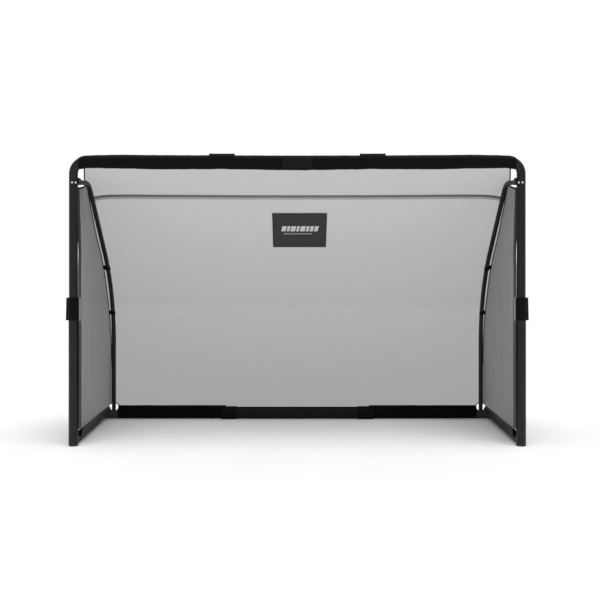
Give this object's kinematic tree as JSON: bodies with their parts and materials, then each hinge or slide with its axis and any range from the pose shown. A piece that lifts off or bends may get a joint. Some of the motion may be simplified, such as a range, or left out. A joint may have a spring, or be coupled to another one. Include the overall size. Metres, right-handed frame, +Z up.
{
  "type": "soccer goal",
  "caption": "Free-standing sectional tubular steel soccer goal with curved rear arcs, flared base frame, cloth sleeves and a fine mesh net.",
  "frame": {"origin": "bottom centre of the whole goal, on the floor", "axes": "+X across the goal to the right seen from the front, +Y from the mouth to the rear bar, +Z up; the mouth faces -Y"},
  "size_m": [2.5114, 0.9613, 1.5282],
  "materials": {
    "black_steel": "satin",
    "cap_plastic": "matte",
    "button_steel": "satin",
    "spring_steel": "satin",
    "zinc_bolt": "satin",
    "sleeve_cloth": "matte",
    "strap_webbing": "matte",
    "hem_webbing": "matte",
    "patch_cloth": "matte",
    "net_mesh": "matte"
  },
  "bodies": {
    "frame": {"arc_bolts": "zinc_bolt", "arc_bracket_left": "black_steel", "arc_bracket_right": "black_steel", "arc_foot_button_spring_left": "spring_steel", "arc_foot_button_spring_right": "spring_steel", "arc_ties": "strap_webbing", "back_net": "net_mesh", "base_corner_tube_left": "black_steel", "base_corner_tube_right": "black_steel", "corner_tube_left": "black_steel", "corner_tube_right": "black_steel", "crossbar_button_spring_left": "spring_steel", "crossbar_button_spring_right": "spring_steel", "crossbar_middle_tube": "black_steel", "crossbar_sleeve_left": "sleeve_cloth", "crossbar_sleeve_middle": "sleeve_cloth", "crossbar_sleeve_right": "sleeve_cloth", "crossbar_strap_left": "strap_webbing", "crossbar_strap_right": "strap_webbing", "crossbar_tab": "strap_webbing", "foot_cap_left": "cap_plastic", "foot_cap_right": "cap_plastic", "front_hem_left": "hem_webbing", "front_hem_right": "hem_webbing", "leg_button_spring_left": "spring_steel", "leg_button_spring_right": "spring_steel", "lower_leg_left": "black_steel", "lower_leg_right": "black_steel", "net_patch": "patch_cloth", "post_strap_left": "strap_webbing", "post_strap_right": "strap_webbing", "rear_arc_left": "black_steel", "rear_arc_right": "black_steel", "rear_bar_button_spring_left": "spring_steel", "rear_bar_button_spring_right": "spring_steel", "rear_middle_tube": "black_steel", "rear_sleeve_left": "sleeve_cloth", "rear_sleeve_middle": "sleeve_cloth", "rear_sleeve_right": "sleeve_cloth", "rear_strap_left": "strap_webbing", "rear_strap_right": "strap_webbing", "side_bar_button_spring_left": "spring_steel", "side_bar_button_spring_right": "spring_steel", "side_net_left": "net_mesh", "side_net_right": "net_mesh", "side_sleeve_left": "sleeve_cloth", "side_sleeve_right": "sleeve_cloth", "top_net": "net_mesh"},
    "arc_foot_button_left": {"arc_foot_button_left": "button_steel"},
    "arc_foot_button_right": {"arc_foot_button_right": "button_steel"},
    "crossbar_button_left": {"crossbar_button_left": "button_steel"},
    "crossbar_button_right": {"crossbar_button_right": "button_steel"},
    "leg_button_left": {"leg_button_left": "button_steel"},
    "leg_button_right": {"leg_button_right": "button_steel"},
    "rear_bar_button_left": {"rear_bar_button_left": "button_steel"},
    "rear_bar_button_right": {"rear_bar_button_right": "button_steel"},
    "side_bar_button_left": {"side_bar_button_left": "button_steel"},
    "side_bar_button_right": {"side_bar_button_right": "button_steel"}
  },
  "joints": [
    {"name": "arc_foot_button_press_left", "type": "slide", "parent": "frame", "child": "arc_foot_button_left", "axis": [0, -1, 0], "range_m": [0, 0.0065], "stiffness_N_per_m": 1500, "springref_m": -0.002, "deforming": ["arc_foot_button_spring_left"]},
    {"name": "arc_foot_button_press_right", "type": "slide", "parent": "frame", "child": "arc_foot_button_right", "axis": [0, -1, 0], "range_m": [0, 0.0065], "stiffness_N_per_m": 1500, "springref_m": -0.002, "deforming": ["arc_foot_button_spring_right"]},
    {"name": "crossbar_button_press_left", "type": "slide", "parent": "frame", "child": "crossbar_button_left", "axis": [0, -1, 0], "range_m": [0, 0.0065], "stiffness_N_per_m": 1500, "springref_m": -0.002, "deforming": ["crossbar_button_spring_left"]},
    {"name": "crossbar_button_press_right", "type": "slide", "parent": "frame", "child": "crossbar_button_right", "axis": [0, -1, 0], "range_m": [0, 0.0065], "stiffness_N_per_m": 1500, "springref_m": -0.002, "deforming": ["crossbar_button_spring_right"]},
    {"name": "leg_button_press_left", "type": "slide", "parent": "frame", "child": "leg_button_left", "axis": [1, 0, 0], "range_m": [0, 0.007], "stiffness_N_per_m": 1500, "springref_m": -0.002, "deforming": ["leg_button_spring_left"]},
    {"name": "leg_button_press_right", "type": "slide", "parent": "frame", "child": "leg_button_right", "axis": [-1, 0, 0], "range_m": [0, 0.007], "stiffness_N_per_m": 1500, "springref_m": -0.002, "deforming": ["leg_button_spring_right"]},
    {"name": "rear_bar_button_press_left", "type": "slide", "parent": "frame", "child": "rear_bar_button_left", "axis": [0, 0, -1], "range_m": [0, 0.0065], "stiffness_N_per_m": 1500, "springref_m": -0.002, "deforming": ["rear_bar_button_spring_left"]},
    {"name": "rear_bar_button_press_right", "type": "slide", "parent": "frame", "child": "rear_bar_button_right", "axis": [0, 0, -1], "range_m": [0, 0.0065], "stiffness_N_per_m": 1500, "springref_m": -0.002, "deforming": ["rear_bar_button_spring_right"]},
    {"name": "side_bar_button_press_left", "type": "slide", "parent": "frame", "child": "side_bar_button_left", "axis": [0.9974, 0.0727, 0], "range_m": [0, 0.0065], "stiffness_N_per_m": 1500, "springref_m": -0.002, "deforming": ["side_bar_button_spring_left"]},
    {"name": "side_bar_button_press_right", "type": "slide", "parent": "frame", "child": "side_bar_button_right", "axis": [-0.9974, 0.0727, 0], "range_m": [0, 0.0065], "stiffness_N_per_m": 1500, "springref_m": -0.002, "deforming": ["side_bar_button_spring_right"]}
  ]
}
